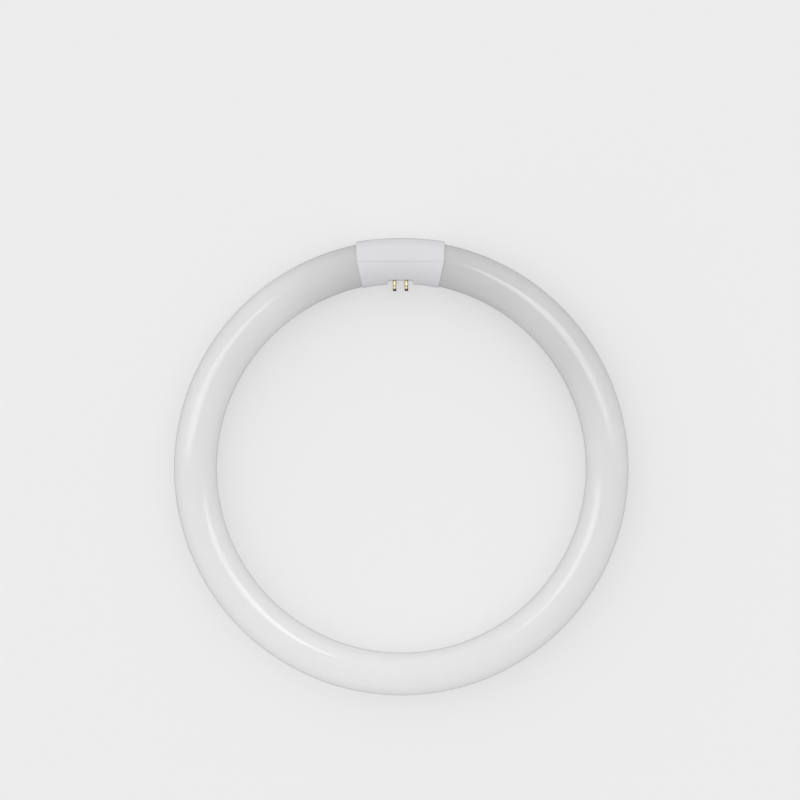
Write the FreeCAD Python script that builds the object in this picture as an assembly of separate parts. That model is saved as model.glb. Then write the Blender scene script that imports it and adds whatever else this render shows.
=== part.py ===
"""A circular fluorescent lamp: a glass ring whose two ends meet in a four-pin plastic base.

The ring lies flat. Its centre is the origin, its axis is +Z, the base sits at +Y and the
pins point along -Y towards the centre. All lengths are in millimetres.
"""

import FreeCAD, Part
import math
import os

from FreeCAD import Vector

# Glass ring
ring_outside_diameter = 304.8
tube_diameter = 28.6
easing_start_deg = 60.0  # from the middle of the base, where the bend begins to open
easing_growth = 1.5  # by which the bend's radius is larger there

# Ends of the glass
rim_length = 4.0
rim_round_radius = 3.4
flare_mouth_diameter = 18.0
flare_seat_diameter = 12.0
flare_depth = 9.0
flare_lip_radius = 0.8
exhaust_tip_diameter = 4.5
exhaust_tip_reach = 3.5  # past the rim

# Base sleeve
base_length = 58.4  # at the parting plane
base_middle_offset = 0.85  # from the ring's centre line outwards, at the middle of the base
outer_mouth_offset = 0.9  # from the glass's centre line outwards, at each mouth of the outer shell
outer_end_tilt_deg = 2.5
inner_end_tilt_deg = 12.5
outer_shell_wall = 1.0
inner_shell_wall = 0.85
sleeve_room = 0.3  # all round the glass, inside the inner shell
parting_gap = 0.06
parting_chamfer = 0.1
outer_mouth_round = 0.8
inner_mouth_round = 0.5

# Pin seat, a flat pocket across the inner shell
pin_seat_length = 17.2
pin_seat_depth = 2.6
pin_seat_floor = 1.4
pin_seat_wall = 1.1
pin_seat_round_radius = 2.0
rim_clearance = 2.0  # from a side wall of the seat to the glass, along the base

# Stops and lips that hold the glass
stop_thickness = 1.2
stop_height = 4.2
glass_stop_gap = 0.3
lip_length = 1.8
lip_glass_gap = 0.15
inner_glass_gap = 0.1

# Snap arms on the outer shell and their catches on the inner shell
snap_pitch = 11.0
snap_width = 3.4
snap_thickness = 1.1
snap_wall_gap = 2.9  # from the outside of the sleeve to the arm
snap_reach = 4.6  # past the parting plane
barb_height = 1.5
barb_depth = 0.8
catch_height = 1.4
snap_play = 0.2

# Contact pins
pin_spacing_long = 7.92  # along the tube
pin_spacing_short = 6.35  # across the tube
pin_diameter = 2.44
pin_length = 7.3  # out of the pin seat
pin_bore_diameter = 1.4
pin_nose_diameter = 2.38  # past the crimp, where the pin is drawn solid
pin_nose_solid = 1.9  # from the tip to the end of the bore
pin_tip_radius = 0.75
pin_flange_diameter = 3.6
pin_flange_thickness = 0.5
pin_fit_gap = 0.02
boss_diameter = 4.7
boss_height = 4.0
crimp_from_tip = 3.1
crimp_length = 1.3
crimp_depth = 0.28
crimp_lead_gap = 0.05  # round the lead, in the neck under the crimp

# Lead wires
wire_diameter = 0.7
wire_bend_radius = 3.4
wire_end_gap = 0.1

# Places that follow from the sizes above
tube_radius = tube_diameter / 2
ring_radius = (ring_outside_diameter - tube_diameter) / 2
easing_start = math.radians(easing_start_deg)
easing_bend_radius = ring_radius + easing_growth
easing_centre = Vector(-math.sin(easing_start), -math.cos(easing_start), 0) * easing_growth
glass_end_gap = pin_seat_length + 2 * (pin_seat_wall + rim_clearance)
glass_arc_end_x = glass_end_gap / 2 + rim_length
glass_end_angle = math.asin((glass_arc_end_x - easing_centre.x) / easing_bend_radius)
end_direction = Vector(-math.cos(glass_end_angle), math.sin(glass_end_angle), 0)
end_spoke = Vector(math.sin(glass_end_angle), math.cos(glass_end_angle), 0)
arc_end = easing_centre + end_spoke * easing_bend_radius
rim_centre = arc_end + end_direction * rim_length
flare_seat_centre = rim_centre - end_direction * flare_depth

base_radius = tube_radius + sleeve_room + inner_shell_wall
base_diameter = 2 * base_radius
base_centre_radius = ring_radius + base_middle_offset
parting_y = ring_radius
mouth_x = base_length / 2
glass_at_mouth = easing_centre.y + math.sqrt(easing_bend_radius**2 - (mouth_x - easing_centre.x) ** 2)
outer_rise = base_centre_radius - glass_at_mouth - outer_mouth_offset
outer_bend_radius = (mouth_x**2 + outer_rise**2) / (2 * outer_rise)
outer_bend_centre = Vector(0, base_centre_radius - outer_bend_radius, 0)
base_inner_face = base_centre_radius - base_radius
pin_seat_face = base_inner_face + pin_seat_depth
pin_seat_inside = pin_seat_face + pin_seat_floor
boss_top = pin_seat_inside + boss_height
pin_tip = pin_seat_face - pin_length
pin_top = boss_top + pin_flange_thickness
pin_bore_end = pin_tip + pin_nose_solid
snap_outside = base_radius - snap_wall_gap

AXIS_X = Vector(1, 0, 0)
AXIS_Y = Vector(0, 1, 0)
AXIS_Z = Vector(0, 0, 1)
ORIGIN = Vector(0, 0, 0)


def mirrored(shape):
    """The shape on the other side of the base's middle plane."""
    return shape.mirror(ORIGIN, AXIS_X)


def closed_face(edges):
    return Part.Face(Part.Wire(edges))


def line(start, end):
    return Part.LineSegment(start, end).toShape()


def arc(start, middle, end):
    return Part.Arc(start, middle, end).toShape()


def box(low, high):
    size = high - low
    return Part.makeBox(size.x, size.y, size.z, low)


def revolved_about(profile, centre, direction):
    """A solid of revolution from (distance along the axis, radius) corners."""
    side = direction.cross(AXIS_Z)
    points = [centre + direction * along + side * radius for along, radius in profile]
    face = closed_face([line(a, b) for a, b in zip(points, points[1:] + points[:1])])
    return face.revolve(centre, direction, 360)


def glass_bend(centre, bend_radius, from_angle, to_angle, radius=tube_radius):
    """A length of the tube, between two angles taken clockwise from +Y."""
    start = centre + Vector(math.sin(from_angle), math.cos(from_angle), 0) * bend_radius
    along = Vector(math.cos(from_angle), -math.sin(from_angle), 0)
    disc = closed_face([Part.Circle(start, along, radius).toShape()])
    return disc.revolve(centre, -AXIS_Z, math.degrees(to_angle - from_angle))


def glass_rim():
    """The short straight end of the tube, with its rounded shoulder."""
    shoulder = rim_length - rim_round_radius
    side = end_direction.cross(AXIS_Z)
    turn = rim_round_radius * (1 - math.cos(math.radians(45)))

    def at(along, radius):
        return arc_end + end_direction * along + side * radius

    edges = [
        line(at(0, 0), at(0, tube_radius)),
        line(at(0, tube_radius), at(shoulder, tube_radius)),
        arc(
            at(shoulder, tube_radius),
            at(rim_length - turn, tube_radius - turn),
            at(rim_length, tube_radius - rim_round_radius),
        ),
        line(at(rim_length, tube_radius - rim_round_radius), at(rim_length, 0)),
        line(at(rim_length, 0), at(0, 0)),
    ]
    return closed_face(edges).revolve(arc_end, end_direction, 360)


def flare_pocket():
    """The funnel that the stem leaves in the end of the glass."""
    mouth = flare_mouth_diameter / 2
    seat = flare_seat_diameter / 2
    profile = [
        (0, 0),
        (0, seat),
        (flare_depth - flare_lip_radius, mouth),
        (flare_depth, mouth + flare_lip_radius),
        (flare_depth + 1, mouth + flare_lip_radius),
        (flare_depth + 1, 0),
    ]
    return revolved_about(profile, flare_seat_centre, end_direction)


def exhaust_tip():
    """The sealed-off stub of the exhaust tube."""
    radius = exhaust_tip_diameter / 2
    length = flare_depth + exhaust_tip_reach - radius
    start = flare_seat_centre - end_direction * 0.5
    stub = Part.makeCylinder(radius, length + 0.5, start, end_direction)
    end = Part.makeSphere(radius, flare_seat_centre + end_direction * length)
    return stub.fuse(end)


def glass_end():
    bend = glass_bend(easing_centre, easing_bend_radius, glass_end_angle, easing_start)
    end = bend.fuse(glass_rim())
    return end.cut(flare_pocket()).fuse(exhaust_tip())


def make_glass_tube():
    far_side = glass_bend(ORIGIN, ring_radius, easing_start, 2 * math.pi - easing_start)
    end = glass_end()
    return far_side.multiFuse([end, mirrored(end)]).removeSplitter()


def swept_disc(radius, side):
    """A round bar along one shell's bend, past both of its mouths.

    Side -1 is the inner shell, which bends with the ring. Side +1 is the outer shell, which bends less.
    """
    bend_centre = outer_bend_centre if side > 0 else ORIGIN
    start = Vector(0, base_centre_radius, 0)
    reach = math.degrees(math.asin(base_length / (base_centre_radius - bend_centre.y)))
    disc = closed_face([Part.Circle(start, AXIS_X, radius).toShape()])
    disc.rotate(start, AXIS_X, side * 90)  # the bar's seam comes on the other shell's side
    disc.rotate(bend_centre, AXIS_Z, -reach)
    return disc.revolve(bend_centre, AXIS_Z, 2 * reach)


def between_mouths(tilt_deg, inset=0.0):
    """The block between the two tilted end planes, which meet the parting plane at the mouths."""
    half = mouth_x - inset
    spread = base_diameter * math.tan(math.radians(tilt_deg))
    near = parting_y - base_diameter
    far = parting_y + base_diameter
    corners = [
        Vector(-half + spread, near, -base_diameter),
        Vector(half - spread, near, -base_diameter),
        Vector(half + spread, far, -base_diameter),
        Vector(-half - spread, far, -base_diameter),
    ]
    face = closed_face([line(a, b) for a, b in zip(corners, corners[1:] + corners[:1])])
    return face.extrude(AXIS_Z * 2 * base_diameter)


def half_space(side):
    """Everything on one side of the parting plane, less half of the gap."""
    near = parting_y + side * parting_gap / 2
    far = near + side * 2 * base_diameter
    low = Vector(-base_length, min(near, far), -base_diameter)
    high = Vector(base_length, max(near, far), base_diameter)
    return box(low, high)


def long_edges(half, at_mouths):
    """The edges round the mouths or along the parting of a solid half sleeve, without the chords."""
    return [
        edge
        for edge in half.Edges
        if edge.Length > base_diameter and (abs(edge.CenterOfMass.x) > mouth_x / 2) == at_mouths
    ]


def half_sleeve(side, tilt_deg, mouth_round):
    """One half of the sleeve's outside, still solid, chamfered at the parting and round at its mouths."""
    half = swept_disc(base_radius, side).common(between_mouths(tilt_deg)).common(half_space(side))
    half = half.makeChamfer(parting_chamfer, long_edges(half, False))
    return half.makeFillet(mouth_round, long_edges(half, True))


def glass_stops(bore, side):
    """The two webs that the glass rims stand against."""
    outside = swept_disc(bore + inner_shell_wall / 2, side)
    ring = outside.cut(swept_disc(bore - stop_height, side)).common(half_space(side))
    face = rim_centre + end_direction * glass_stop_gap
    web = ring.common(Part.makeCylinder(base_diameter, stop_thickness, face, end_direction))
    return [web, mirrored(web)]


def clear_of_glass(shell, gap):
    """The shell with room left round both ends of the glass."""
    radius = tube_radius + gap
    bend = glass_bend(easing_centre, easing_bend_radius, glass_end_angle, easing_start, radius)
    room = bend.fuse(Part.makeCylinder(radius, rim_length, arc_end, end_direction))
    return shell.cut(room).cut(mirrored(room))


def snap_arm(x_centre, side):
    """A flexible arm with a barb; side is +1 on the +Z half and -1 on the other."""
    low_x = x_centre - snap_width / 2
    arm_out = snap_outside
    arm_in = arm_out - snap_thickness
    tip = parting_y - snap_reach
    root = parting_y + base_radius
    barb_top = tip + barb_height
    profile = [
        Vector(low_x, root, side * arm_in),
        Vector(low_x, root, side * arm_out),
        Vector(low_x, barb_top, side * arm_out),
        Vector(low_x, barb_top, side * (arm_out + barb_depth)),
        Vector(low_x, tip, side * arm_out),
        Vector(low_x, tip, side * arm_in),
    ]
    face = closed_face([line(a, b) for a, b in zip(profile, profile[1:] + profile[:1])])
    return face.extrude(AXIS_X * snap_width)


def snap_catch(x_centre, side):
    """The ledge on the inner shell that a barb hooks under."""
    top = parting_y - snap_reach + barb_height + snap_play + catch_height
    near = side * (snap_outside + snap_play)
    far = side * base_radius
    low = Vector(x_centre - snap_width / 2 - snap_play, top - catch_height, min(near, far))
    high = Vector(x_centre + snap_width / 2 + snap_play, top, max(near, far))
    return box(low, high)


def snap_places():
    return [(x, side) for x in (-snap_pitch / 2, snap_pitch / 2) for side in (-1, 1)]


def make_outer_shell():
    bore = base_radius - outer_shell_wall
    hollow = swept_disc(bore, 1).common(between_mouths(outer_end_tilt_deg, lip_length))
    shell = half_sleeve(1, outer_end_tilt_deg, outer_mouth_round).cut(hollow)
    shell = clear_of_glass(shell, lip_glass_gap)
    inside = swept_disc(bore + outer_shell_wall / 2, 1)
    arms = [snap_arm(x, side).common(inside) for x, side in snap_places()]
    return shell.multiFuse(arms + glass_stops(bore, 1)).removeSplitter()


def pin_places():
    return [
        (x, z)
        for x in (-pin_spacing_long / 2, pin_spacing_long / 2)
        for z in (-pin_spacing_short / 2, pin_spacing_short / 2)
    ]


def pin_seat_block():
    """The floor and side walls behind the pin seat, still solid."""
    half = pin_seat_length / 2 + pin_seat_wall
    low = Vector(-half, base_inner_face - pin_seat_depth, -base_diameter)
    block = box(low, Vector(half, pin_seat_inside, base_diameter))
    return block.common(swept_disc(base_radius, -1))


def pin_seat_pocket():
    half = pin_seat_length / 2
    low = Vector(-half, base_inner_face - 2 * pin_seat_depth, -base_diameter)
    pocket = box(low, Vector(half, pin_seat_face, base_diameter))
    corners = [
        edge
        for edge in pocket.Edges
        if abs(edge.CenterOfMass.y - pin_seat_face) < pin_fit_gap and edge.Length > pin_seat_length + 1
    ]
    return pocket.makeFillet(pin_seat_round_radius, corners)


def pin_boss(x, z):
    height = pin_seat_floor / 2 + boss_height
    return Part.makeCylinder(boss_diameter / 2, height, Vector(x, boss_top - height, z), AXIS_Y)


def pin_hole(x, z):
    radius = pin_diameter / 2 + pin_fit_gap
    height = boss_top - base_inner_face + base_radius
    return Part.makeCylinder(radius, height, Vector(x, base_inner_face - base_radius / 2, z), AXIS_Y)


def make_inner_shell():
    bore = base_radius - inner_shell_wall
    shell = half_sleeve(-1, inner_end_tilt_deg, inner_mouth_round).cut(swept_disc(bore, -1))
    shell = clear_of_glass(shell, inner_glass_gap)
    inside = swept_disc(bore + inner_shell_wall / 2, -1)
    catches = [snap_catch(x, side).common(inside) for x, side in snap_places()]
    bosses = [pin_boss(x, z) for x, z in pin_places()]
    shell = shell.multiFuse([pin_seat_block()] + catches + glass_stops(bore, -1) + bosses)
    shell = shell.cut(pin_seat_pocket())
    for x, z in pin_places():
        shell = shell.cut(pin_hole(x, z))
    return shell.removeSplitter()


def make_contact_pin(x, z):
    """A drawn pin: a flange inside the base, a waist crimped on the lead, and a solid round nose."""
    radius = pin_diameter / 2
    nose = pin_nose_diameter / 2
    bore = pin_bore_diameter / 2
    neck = wire_diameter / 2 + crimp_lead_gap
    flange = pin_flange_diameter / 2
    crimp = pin_tip + crimp_from_tip
    turn = pin_tip_radius * (1 - math.cos(math.radians(45)))

    def at(radial, y):
        return Vector(x + radial, y, z)

    shank = [
        at(radius, crimp + crimp_length / 2),
        at(radius, boss_top),
        at(flange, boss_top),
        at(flange, pin_top),
        at(bore, pin_top),
        at(bore, crimp + crimp_length / 2),
        at(neck, crimp),
        at(neck, pin_bore_end),
        at(0, pin_bore_end),
        at(0, pin_tip),
        at(nose - pin_tip_radius, pin_tip),
    ]
    nose_start = at(nose, pin_tip + pin_tip_radius)
    nose_end = at(nose, crimp - crimp_length / 2)
    edges = [line(nose_start, nose_end)]
    edges.append(arc(nose_end, at(radius - crimp_depth, crimp), shank[0]))
    edges += [line(a, b) for a, b in zip(shank, shank[1:])]
    edges.append(arc(shank[-1], at(nose - turn, pin_tip + turn), nose_start))
    return closed_face(edges).revolve(at(0, 0), AXIS_Y, 360)


def make_lead_wire(x, z):
    """A lead from the stem of the glass, bent down into its pin."""
    level = Vector(0, 0, z)
    start = flare_seat_centre + level
    along = end_direction
    pin_x = abs(x)
    reach = (start.x - pin_x) / -along.x
    corner = start + along * reach
    down = -AXIS_Y
    half_turn = along.getAngle(down) / 2
    back = wire_bend_radius * math.tan(half_turn)
    first = corner - along * back
    last = corner + down * back
    inward = (down - along).normalize()
    centre = corner + inward * (wire_bend_radius / math.cos(half_turn))
    middle = centre - inward * wire_bend_radius
    end = Vector(pin_x, pin_bore_end + wire_end_gap, z)
    path = Part.Wire([line(start, first), arc(first, middle, last), line(last, end)])
    section = Part.Wire([Part.Circle(start, along, wire_diameter / 2).toShape()])
    wire = path.makePipeShell([section], True, False)
    return wire if x > 0 else mirrored(wire)


def make_nodes():
    nodes = {
        "glass_tube": make_glass_tube(),
        "base_outer_shell": make_outer_shell(),
        "base_inner_shell": make_inner_shell(),
    }
    for number, (x, z) in enumerate(pin_places(), start=1):
        nodes[f"contact_pin_{number}"] = make_contact_pin(x, z)
        nodes[f"lead_wire_{number}"] = make_lead_wire(x, z)
    return nodes


def export(nodes):
    os.makedirs("parts", exist_ok=True)
    for name, shape in nodes.items():
        solids = shape.Solids
        if len(solids) != 1 or not shape.isValid():
            raise ValueError(f"{name} is not one valid solid: {len(solids)}, {shape.isValid()}")
        solids[0].exportStep(f"parts/{name}.step")
        size = shape.BoundBox
        print(
            f"{name}: {size.XLength:.2f} x {size.YLength:.2f} x {size.ZLength:.2f},"
            f" volume {shape.Volume:.1f}"
        )


export(make_nodes())
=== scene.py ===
"""Looks for the circular fluorescent lamp: coated glass, moulded base, brass pins, light and camera.

The ring lies flat with its centre at the origin and the base at +Y. Lengths are in metres.
"""

import math

import bmesh
import bpy
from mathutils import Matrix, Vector


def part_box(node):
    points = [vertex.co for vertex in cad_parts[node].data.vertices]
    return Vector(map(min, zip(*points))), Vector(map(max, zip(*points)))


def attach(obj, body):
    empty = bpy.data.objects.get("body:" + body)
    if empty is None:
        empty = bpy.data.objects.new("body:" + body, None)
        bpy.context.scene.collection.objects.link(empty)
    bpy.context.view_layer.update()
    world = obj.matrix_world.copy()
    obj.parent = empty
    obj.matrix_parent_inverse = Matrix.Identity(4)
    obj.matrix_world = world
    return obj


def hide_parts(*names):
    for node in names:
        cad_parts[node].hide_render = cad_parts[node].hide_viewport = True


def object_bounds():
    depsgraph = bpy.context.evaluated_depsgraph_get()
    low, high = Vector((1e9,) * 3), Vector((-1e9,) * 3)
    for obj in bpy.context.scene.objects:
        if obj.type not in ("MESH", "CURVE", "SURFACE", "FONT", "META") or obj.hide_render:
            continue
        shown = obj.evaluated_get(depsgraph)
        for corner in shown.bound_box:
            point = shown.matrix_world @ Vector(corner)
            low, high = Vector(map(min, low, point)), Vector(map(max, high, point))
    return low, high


UP = Vector((0, 0, 1))
WHITE = (1.0, 1.0, 1.0)
TOWARDS_BASE = (0.0, 1.0, 0.0)

# Camera: straight down, almost without perspective. The width seen is the one at the ring's middle.
CAMERA_PLACE = (-0.00067, 0.0457, 2.5)
CAMERA_ROLL_DEG = -0.25
CAMERA_WIDTH_SEEN = 0.5368

# Floor: pale paper, partly bright by itself so that shadows stay light
FLOOR_HALF = 6.0
FLOOR_COLOUR = (0.62, 0.62, 0.62)
FLOOR_GLOW = 0.32

# Sky, for light and for what the gloss shows. The tilt is what each axis adds to its brightness.
SKY_ZENITH = 0.96
SKY_HORIZON = 0.64
SKY_TILT = (-0.09, 0.18, 0.0)
GROUND_IN_GLOSS = 0.25
HORIZON_BLUR = 0.02

# Soft boxes: each shows only in gloss, as (from x, to x, from y, to y, brightness). Each one hangs
# a little above the last, so that where two overlap their light adds up.
BOX_HEIGHT = 1.2
BOX_RISE = 0.01
SOFT_BOXES = {
    "box_left": (-1.40, -0.42, 0.07, 0.74, 1.4),
    "box_left_spill": (-2.60, -0.42, 0.02, 0.74, 0.9),
    "box_right": (0.25, 0.98, 0.11, 0.84, 1.7),
    "box_right_far": (0.32, 0.85, 0.42, 0.90, 0.9),
    "box_right_spill": (0.25, 1.70, 0.07, 0.92, 0.8),
}

# Glass: the bend's centre line, and the ends hidden in the base
EASING_START_DEG = 60.0
EASING_GROWTH = 0.0015
BEND_END_X = 0.0157
RIM_LENGTH = 0.004
RIM_ROUND_RADIUS = 0.0034
FLARE_MOUTH_RADIUS = 0.009
FLARE_LIP = 0.0008
FLARE_SEAT_RADIUS = 0.006
FLARE_DEPTH = 0.009
EXHAUST_RADIUS = 0.00225
EXHAUST_REACH = 0.0035
GLASS_STEPS_ALONG = 360
GLASS_STEPS_ROUND = 96
ROUND_STEPS = 8
SHARP_ANGLE_DEG = 30.0
SAME_POINT = 1e-7

# A noise is (scale, detail) and a bump (strength, height). Most of a noise keeps to this range.
NOISE_RANGE = (0.3, 0.7)

# Phosphor coat, with painted shade: greyer towards the base, and darker round one place on the +X side
PAINTED_SHADE_AXIS = (0.20, 0.97, 0.0)
PAINTED_SHADE_REACH = 0.14
PAINTED_SHADE_CURVE = 0.45
COAT_UNSHADED_COLOUR = (0.93, 0.93, 0.945)
COAT_PAINTED_SHADE_COLOUR = (0.655, 0.655, 0.662)
COAT_NOISE = (22.0, 2.0)
COAT_UNEVENNESS = (-0.04, 0.04)
# Painted shade: the coat is darker round this place
SHADE_SPOT_PLACE = (0.095, 0.097, 0.0)
SHADE_SPOT_FROM_PLACE = (0.09, 0.03)
SHADE_SPOT_COLOUR = (0.57, 0.57, 0.575)
COAT_SCATTER = 0.09
SCATTER_PER_COLOUR = (1.0, 1.0, 1.0)
SCATTER_FROM_BASE = (0.030, 0.095)

# The clear glass over the coat
GLASS_IOR = 1.5
GLASS_FILM_NOISE = (60.0, 4.0)
GLASS_ROUGHNESS = (0.07, 0.11)
GLASS_RIPPLE_NOISE = (9.0, 0.0)
GLASS_RIPPLE_BUMP = (0.05, 0.002)

# Base plastic
PLASTIC_IOR = 1.49
PLASTIC_CLOUD_NOISE = (60.0, 4.0)
PLASTIC_COLOURS = ((0.80, 0.795, 0.82), (0.82, 0.815, 0.84))
PLASTIC_ROUGHNESS = (0.12, 0.18)
PLASTIC_GRAIN_NOISE = (2600.0, 3.0)
PLASTIC_GRAIN_BUMP = (0.1, 0.00005)

# Pins: their length out of the seat, how far the dark tip and the painted shadow at the root reach,
# and how soft the dark tip's edge is
PIN_LENGTH = 0.0073
PIN_TIP_DARK = 0.0016
PIN_ROOT_PAINTED_SHADOW = 0.0012
DARK_TIP_EDGE = 0.15
# The colour of the dark tip and of the painted shadow at the root
DARK_TIP_AND_ROOT_SHADOW_COLOUR = (0.10, 0.09, 0.07)
BRASS_COLOURS = ((0.66, 0.56, 0.38), (0.56, 0.46, 0.29))
BRASS_ROUGHNESS = (0.18, 0.30)
TARNISH_NOISE = (500.0, 3.0)
TARNISH_RANGE = (0.35, 0.7)

# Lead wires
LEAD_COLOUR = (0.62, 0.61, 0.58)
LEAD_NOISE = (900.0, 2.0)
LEAD_ROUGHNESS = (0.25, 0.45)


def node(tree, kind, **inputs):
    """Adds a shader node and sets its inputs by name, with underscores for spaces."""
    made = tree.nodes.new(kind)
    for name, value in inputs.items():
        made.inputs[name.replace("_", " ")].default_value = value
    return made


def opaque(colour):
    return (*colour, 1)


def material(name, **inputs):
    """A material with one shader, as the material, its node tree and the shader."""
    made = bpy.data.materials.new(name)
    made.use_nodes = True
    tree = made.node_tree
    tree.nodes.clear()
    out = tree.nodes.new("ShaderNodeOutputMaterial")
    shader = node(tree, "ShaderNodeBsdfPrincipled", **inputs)
    tree.links.new(shader.outputs["BSDF"], out.inputs["Surface"])
    return made, tree, shader


def object_noise(tree, scale, detail):
    """Noise fixed to the object, so that it stays where it is from every side."""
    place = tree.nodes.new("ShaderNodeTexCoord")
    noise = node(tree, "ShaderNodeTexNoise", Scale=scale, Detail=detail)
    tree.links.new(place.outputs["Object"], noise.inputs["Vector"])
    return noise.outputs["Fac"]


def object_place(tree, axis):
    """How far along an axis a point of the surface lies, in the object's own frame."""
    place = tree.nodes.new("ShaderNodeTexCoord")
    return along_axis(tree, place.outputs["Object"], axis)


def distance_from(tree, point):
    """How far a point of the surface lies from a fixed point, in the object's own frame."""
    place = tree.nodes.new("ShaderNodeTexCoord")
    distance = tree.nodes.new("ShaderNodeVectorMath")
    distance.operation = "DISTANCE"
    distance.inputs[1].default_value = point
    tree.links.new(place.outputs["Object"], distance.inputs[0])
    return distance.outputs["Value"]


def along_axis(tree, vector, axis):
    product = tree.nodes.new("ShaderNodeVectorMath")
    product.operation = "DOT_PRODUCT"
    product.inputs[1].default_value = axis
    tree.links.new(vector, product.inputs[0])
    return product.outputs["Value"]


def between(tree, value, low, high, low_out=0.0, high_out=1.0):
    """Maps a value's range onto another range, and keeps the result inside it."""
    ramp = node(tree, "ShaderNodeMapRange", From_Min=low, From_Max=high, To_Min=low_out, To_Max=high_out)
    tree.links.new(value, ramp.inputs["Value"])
    return ramp.outputs["Result"]


def combined(tree, operation, first, second):
    """The sum, the larger or the smaller of two values."""
    joined = tree.nodes.new("ShaderNodeMath")
    joined.operation = operation
    tree.links.new(first, joined.inputs[0])
    tree.links.new(second, joined.inputs[1])
    return joined.outputs["Value"]


def raised(tree, value, power):
    """A value from 0 to 1 on a curve."""
    curve = tree.nodes.new("ShaderNodeMath")
    curve.operation = "POWER"
    curve.inputs[1].default_value = power
    tree.links.new(value, curve.inputs[0])
    return curve.outputs["Value"]


def blended(tree, factor, first, second):
    """A colour between two, each a fixed colour or another node's, by a factor."""
    mix = tree.nodes.new("ShaderNodeMix")
    mix.data_type = "RGBA"
    for socket, colour in (("A", first), ("B", second)):
        if isinstance(colour, tuple):
            mix.inputs[socket].default_value = opaque(colour)
        else:
            tree.links.new(colour, mix.inputs[socket])
    tree.links.new(factor, mix.inputs["Factor"])
    return mix.outputs["Result"]


def bumped(tree, noise, strength, height):
    bump = node(tree, "ShaderNodeBump", Strength=strength, Distance=height)
    tree.links.new(noise, bump.inputs["Height"])
    return bump.outputs["Normal"]


def coat_colour(tree):
    """The coat's colour, greyed across the ring towards the base as painted shade, clouded, and then
    darkened round one place as painted shade.
    """
    # painted shade: the coat is greyer towards the base
    across = between(tree, object_place(tree, PAINTED_SHADE_AXIS), -PAINTED_SHADE_REACH, PAINTED_SHADE_REACH)
    cloud = between(tree, object_noise(tree, *COAT_NOISE), *NOISE_RANGE, *COAT_UNEVENNESS)
    painted_shade_and_cloud = combined(tree, "ADD", raised(tree, across, PAINTED_SHADE_CURVE), cloud)
    coat = blended(tree, painted_shade_and_cloud, COAT_UNSHADED_COLOUR, COAT_PAINTED_SHADE_COLOUR)
    # painted shade: darker round one place on the +X side
    shade_spot = between(tree, distance_from(tree, SHADE_SPOT_PLACE), *SHADE_SPOT_FROM_PLACE)
    return blended(tree, shade_spot, coat, SHADE_SPOT_COLOUR)


def coated_glass(base_centre):
    """Glossy glass over a coat that spreads light, but not close to the base, where it is opaque."""
    made, tree, shader = material(
        "coated_glass",
        IOR=GLASS_IOR,
        Subsurface_Radius=SCATTER_PER_COLOUR,
        Subsurface_Scale=COAT_SCATTER,
    )
    tree.links.new(coat_colour(tree), shader.inputs["Base Color"])
    open_glass = between(tree, distance_from(tree, base_centre), *SCATTER_FROM_BASE)
    tree.links.new(open_glass, shader.inputs["Subsurface Weight"])
    film = between(tree, object_noise(tree, *GLASS_FILM_NOISE), *NOISE_RANGE, *GLASS_ROUGHNESS)
    tree.links.new(film, shader.inputs["Roughness"])
    ripple = bumped(tree, object_noise(tree, *GLASS_RIPPLE_NOISE), *GLASS_RIPPLE_BUMP)
    tree.links.new(ripple, shader.inputs["Normal"])
    return made


def base_plastic():
    made, tree, shader = material("base_plastic", IOR=PLASTIC_IOR)
    cloud = between(tree, object_noise(tree, *PLASTIC_CLOUD_NOISE), *NOISE_RANGE)
    tree.links.new(blended(tree, cloud, *PLASTIC_COLOURS), shader.inputs["Base Color"])
    tree.links.new(between(tree, cloud, 0, 1, *PLASTIC_ROUGHNESS), shader.inputs["Roughness"])
    grain = bumped(tree, object_noise(tree, *PLASTIC_GRAIN_NOISE), *PLASTIC_GRAIN_BUMP)
    tree.links.new(grain, shader.inputs["Normal"])
    return made


def pin_brass(tip, root):
    """Drawn brass, dark at the tip and with a painted shadow at the root, where it meets the seat."""
    made, tree, shader = material("pin_brass", Metallic=1.0)
    tarnish = between(tree, object_noise(tree, *TARNISH_NOISE), *TARNISH_RANGE)
    brass = blended(tree, tarnish, *BRASS_COLOURS)
    along = object_place(tree, TOWARDS_BASE)
    # the last part of the pin is darker towards its tip
    bare_from = tip + PIN_TIP_DARK * (1 + DARK_TIP_EDGE)
    dark_to = tip + PIN_TIP_DARK * (1 - DARK_TIP_EDGE)
    dark_tip = between(tree, along, bare_from, dark_to)
    # painted shadow where the pin meets the seat
    root_shadow = between(tree, along, root - PIN_ROOT_PAINTED_SHADOW, root)
    colour = blended(tree, combined(tree, "MAXIMUM", dark_tip, root_shadow), brass, DARK_TIP_AND_ROOT_SHADOW_COLOUR)
    tree.links.new(colour, shader.inputs["Base Color"])
    tree.links.new(between(tree, tarnish, 0, 1, *BRASS_ROUGHNESS), shader.inputs["Roughness"])
    return made


def lead_metal():
    made, tree, shader = material("lead_metal", Metallic=1.0, Base_Color=opaque(LEAD_COLOUR))
    wear = between(tree, object_noise(tree, *LEAD_NOISE), *NOISE_RANGE, *LEAD_ROUGHNESS)
    tree.links.new(wear, shader.inputs["Roughness"])
    return made


def floor_paper():
    made, _, _ = material(
        "floor_paper",
        Base_Color=opaque(FLOOR_COLOUR),
        Roughness=1.0,
        Specular_IOR_Level=0.0,
        Emission_Color=opaque(WHITE),
        Emission_Strength=FLOOR_GLOW,
    )
    return made


def dress(nodes):
    """Gives every CAD node its material, by the first word of its name."""
    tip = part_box("contact_pin_1")[0].y
    looks = {
        "glass": coated_glass(sum(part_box("base_outer_shell"), Vector()) / 2),
        "base": base_plastic(),
        "contact": pin_brass(tip, tip + PIN_LENGTH),
        "lead": lead_metal(),
    }
    for name, part in nodes.items():
        part.material_slots[0].material = looks[name.split("_")[0]]


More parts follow.
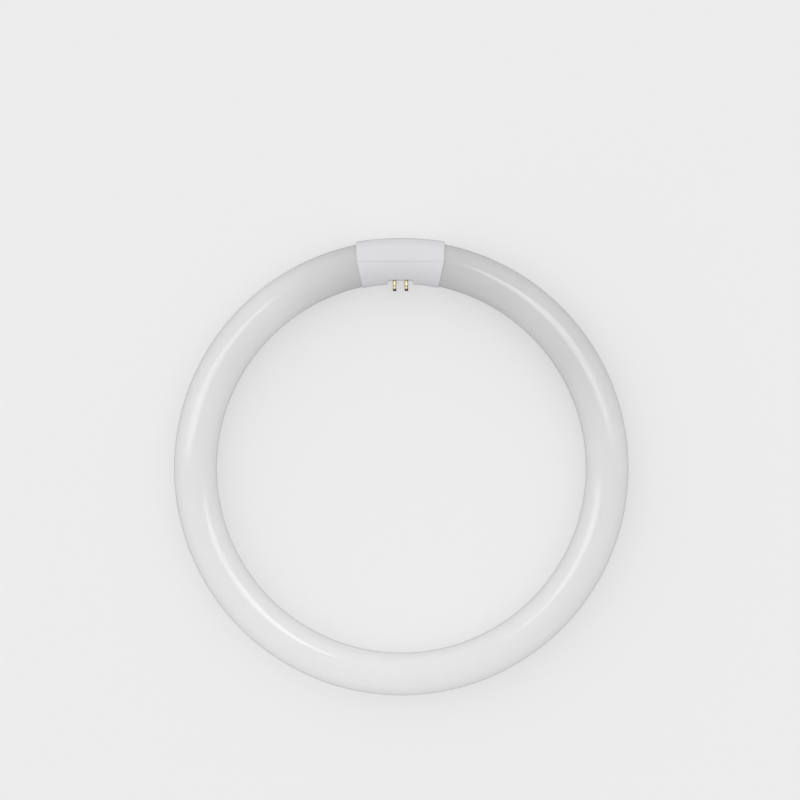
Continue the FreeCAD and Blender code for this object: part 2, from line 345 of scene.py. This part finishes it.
def quarter_round(start, end, centre):
    """Points along a quarter circle from its start to its end, as (distance past the bend, radius)."""
    points = []
    for step in range(ROUND_STEPS + 1):
        turn = math.pi / 2 * step / ROUND_STEPS
        first = math.cos(turn)
        second = math.sin(turn)
        points.append(
            tuple(c + (s - c) * first + (e - c) * second for s, e, c in zip(start, end, centre))
        )
    return points


def glass_end_profile(tube_radius):
    """The shoulder, the flare and the sealed exhaust stub, as (distance past the bend, radius)."""
    shoulder = RIM_LENGTH - RIM_ROUND_RADIUS
    seat = RIM_LENGTH - FLARE_DEPTH
    stub = RIM_LENGTH + EXHAUST_REACH
    profile = quarter_round(
        (shoulder, tube_radius),
        (RIM_LENGTH, tube_radius - RIM_ROUND_RADIUS),
        (shoulder, tube_radius - RIM_ROUND_RADIUS),
    )
    profile += [
        (RIM_LENGTH, FLARE_MOUTH_RADIUS + FLARE_LIP),
        (RIM_LENGTH - FLARE_LIP, FLARE_MOUTH_RADIUS),
        (seat, FLARE_SEAT_RADIUS),
        (seat, EXHAUST_RADIUS),
    ]
    return profile + quarter_round(
        (stub - EXHAUST_RADIUS, EXHAUST_RADIUS), (stub, 0.0), (stub - EXHAUST_RADIUS, 0.0)
    )


def glass_stations(ring_radius, tube_radius):
    """The glass as sections from end to end: each one's centre, its direction and its radius."""
    easing = math.radians(EASING_START_DEG)
    eased_radius = ring_radius + EASING_GROWTH
    shift = Vector((math.sin(easing), math.cos(easing), 0)) * EASING_GROWTH
    first = math.asin((BEND_END_X + shift.x) / eased_radius)
    bend = []
    for step in range(GLASS_STEPS_ALONG + 1):
        angle = first + (2 * math.pi - 2 * first) * step / GLASS_STEPS_ALONG
        spoke = Vector((math.sin(angle), math.cos(angle), 0))
        along = Vector((math.cos(angle), -math.sin(angle), 0))
        if angle < easing:
            centre = spoke * eased_radius - shift
        elif angle > 2 * math.pi - easing:
            centre = spoke * eased_radius + Vector((shift.x, -shift.y, 0))
        else:
            centre = spoke * ring_radius
        bend.append((centre, along, tube_radius))
    profile = glass_end_profile(tube_radius)
    start, along, _ = bend[0]
    head = [(start - along * past, along, radius) for past, radius in reversed(profile)]
    end, along, _ = bend[-1]
    tail = [(end + along * past, along, radius) for past, radius in profile]
    return head + bend + tail


def make_fine_glass(slot_material):
    """The glass again in a finer mesh, for a clean outline and clean reflections."""
    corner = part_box("glass_tube")[1]
    tube_radius = corner.z
    stations = glass_stations(corner.x - tube_radius, tube_radius)
    points = []
    for centre, along, radius in stations:
        side = along.cross(UP)
        for step in range(GLASS_STEPS_ROUND):
            turn = 2 * math.pi * step / GLASS_STEPS_ROUND
            points.append(centre + (side * math.cos(turn) + UP * math.sin(turn)) * radius)
    faces = []
    for ring in range(len(stations) - 1):
        here = ring * GLASS_STEPS_ROUND
        ahead = here + GLASS_STEPS_ROUND
        for step in range(GLASS_STEPS_ROUND):
            after = (step + 1) % GLASS_STEPS_ROUND
            faces.append((here + step, here + after, ahead + after, ahead + step))
    mesh = bpy.data.meshes.new("glass_ring")
    mesh.from_pydata(points, [], faces)
    close_poles(mesh)
    mesh.shade_smooth()
    mesh.set_sharp_from_angle(angle=math.radians(SHARP_ANGLE_DEG))
    mesh.materials.append(slot_material)
    piece = bpy.data.objects.new("glass_ring", mesh)
    bpy.context.scene.collection.objects.link(piece)
    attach(piece, "root")
    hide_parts("glass_tube")


def close_poles(mesh):
    """Merges the points that meet at the two tips, and turns every face outwards."""
    shape = bmesh.new()
    shape.from_mesh(mesh)
    bmesh.ops.remove_doubles(shape, verts=shape.verts, dist=SAME_POINT)
    bmesh.ops.recalc_face_normals(shape, faces=shape.faces)
    shape.to_mesh(mesh)
    shape.free()


def make_floor(height):
    bpy.ops.mesh.primitive_plane_add(size=2 * FLOOR_HALF, location=(0, 0, height))
    floor = bpy.context.object
    floor.name = "floor"
    floor.visible_glossy = False
    floor.data.materials.append(floor_paper())


def make_sky():
    """A sky that is brightest overhead. Under the horizon it is what the gloss shows of the floor."""
    world = bpy.data.worlds.new("studio")
    world.use_nodes = True
    tree = world.node_tree
    place = tree.nodes.new("ShaderNodeTexCoord")
    height = along_axis(tree, place.outputs["Generated"], UP)
    tilt = along_axis(tree, place.outputs["Generated"], SKY_TILT)
    above = combined(tree, "ADD", between(tree, height, 0, 1, SKY_HORIZON, SKY_ZENITH), tilt)
    below = between(tree, height, -HORIZON_BLUR, HORIZON_BLUR, GROUND_IN_GLOSS, SKY_ZENITH)
    back = tree.nodes["Background"]
    back.inputs["Color"].default_value = opaque(WHITE)
    tree.links.new(combined(tree, "MINIMUM", above, below), back.inputs["Strength"])
    bpy.context.scene.world = world


def make_soft_box(name, height, from_x, to_x, from_y, to_y, radiance):
    """A light that faces down and shows only in gloss."""
    light = bpy.data.lights.new(name, "AREA")
    light.shape = "RECTANGLE"
    light.size = to_x - from_x
    light.size_y = to_y - from_y
    light.energy = radiance * light.size * light.size_y * math.pi
    box = bpy.data.objects.new(name, light)
    box.visible_diffuse = False
    box.location = ((from_x + to_x) / 2, (from_y + to_y) / 2, height)
    bpy.context.scene.collection.objects.link(box)


def make_camera():
    data = bpy.data.cameras.new("camera")
    data.angle = 2 * math.atan(CAMERA_WIDTH_SEEN / 2 / CAMERA_PLACE[2])
    camera = bpy.data.objects.new("camera", data)
    camera.location = CAMERA_PLACE
    camera.rotation_euler = (0, 0, math.radians(CAMERA_ROLL_DEG))
    bpy.context.scene.collection.objects.link(camera)
    bpy.context.scene.camera = camera


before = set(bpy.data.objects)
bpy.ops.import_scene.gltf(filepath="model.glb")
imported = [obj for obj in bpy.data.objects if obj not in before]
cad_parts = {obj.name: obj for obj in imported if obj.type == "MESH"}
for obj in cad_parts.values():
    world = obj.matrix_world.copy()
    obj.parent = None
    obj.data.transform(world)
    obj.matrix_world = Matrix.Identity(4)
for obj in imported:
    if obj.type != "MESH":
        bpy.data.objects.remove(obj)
cad_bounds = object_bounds()
dress(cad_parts)
make_fine_glass(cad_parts["glass_tube"].material_slots[0].material)
make_floor(cad_bounds[0][2])
make_sky()
for number, (name, place) in enumerate(SOFT_BOXES.items()):
    make_soft_box(name, BOX_HEIGHT + number * BOX_RISE, *place)
make_camera()
bpy.context.scene.view_settings.view_transform = "Standard"
